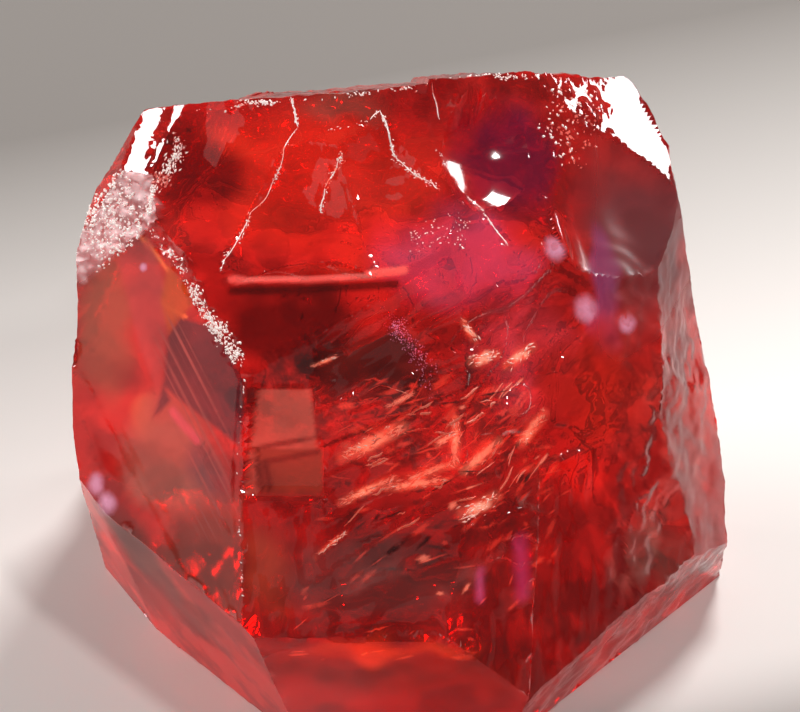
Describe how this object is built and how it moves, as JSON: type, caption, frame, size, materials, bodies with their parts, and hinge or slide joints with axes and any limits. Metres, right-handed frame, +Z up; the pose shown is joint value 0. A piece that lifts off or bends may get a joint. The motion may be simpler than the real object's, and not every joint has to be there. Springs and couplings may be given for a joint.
{
  "type": "raw ruby crystal",
  "caption": "Uncut clear red ruby crystal: a chunky lump with flat growth faces, scooped shell-like fractures, bevelled edges and a flat foot to rest on.",
  "frame": {"origin": "middle of the stone's outline seen from above, at the level of the flat foot that it rests on", "axes": "+X to the stone's right along its longest side, +Y to its back, +Z up from the foot"},
  "size_m": [0.0104, 0.0092, 0.0088],
  "materials": {
    "ruby": "clear deep red gem crystal, bright natural faces, frosted at one corner"
  },
  "bodies": {
    "root": {"ruby_crystal": "ruby"}
  },
  "joints": []
}
